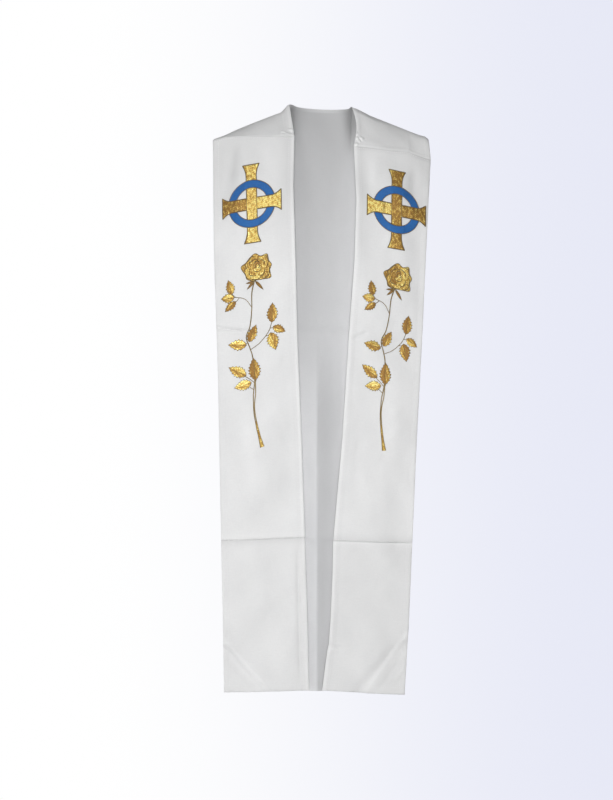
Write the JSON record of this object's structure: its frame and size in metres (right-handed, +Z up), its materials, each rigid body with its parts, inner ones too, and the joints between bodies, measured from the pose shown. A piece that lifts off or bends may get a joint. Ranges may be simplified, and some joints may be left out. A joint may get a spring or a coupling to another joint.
{
  "type": "clerical stole",
  "caption": "Long white vestment, hollow as worn: two front bands joined at the shoulders to a full-length back, with applied crosses, rings and rose sprays.",
  "frame": {"origin": "midway between the two neck points, at the level of the shoulders that carry the garment", "axes": "+Z up, +Y from the fronts to the back, +X towards the wearer's left"},
  "size_m": [0.4314, 0.1153, 1.1697],
  "materials": {
    "white_cloth": "soft matte weave",
    "gold_thread": "metallic thread",
    "blue_cloth": "matte"
  },
  "bodies": {
    "root": {"back_panel": "white_cloth", "yoke_right": "white_cloth", "yoke_left": "white_cloth", "front_right": "white_cloth", "front_left": "white_cloth", "lower_front_right": "white_cloth", "lower_front_left": "white_cloth", "cross_right": "gold_thread", "cross_left": "gold_thread", "ring_right": "blue_cloth", "ring_left": "blue_cloth", "rose_right": "gold_thread", "rose_left": "gold_thread"}
  },
  "joints": []
}
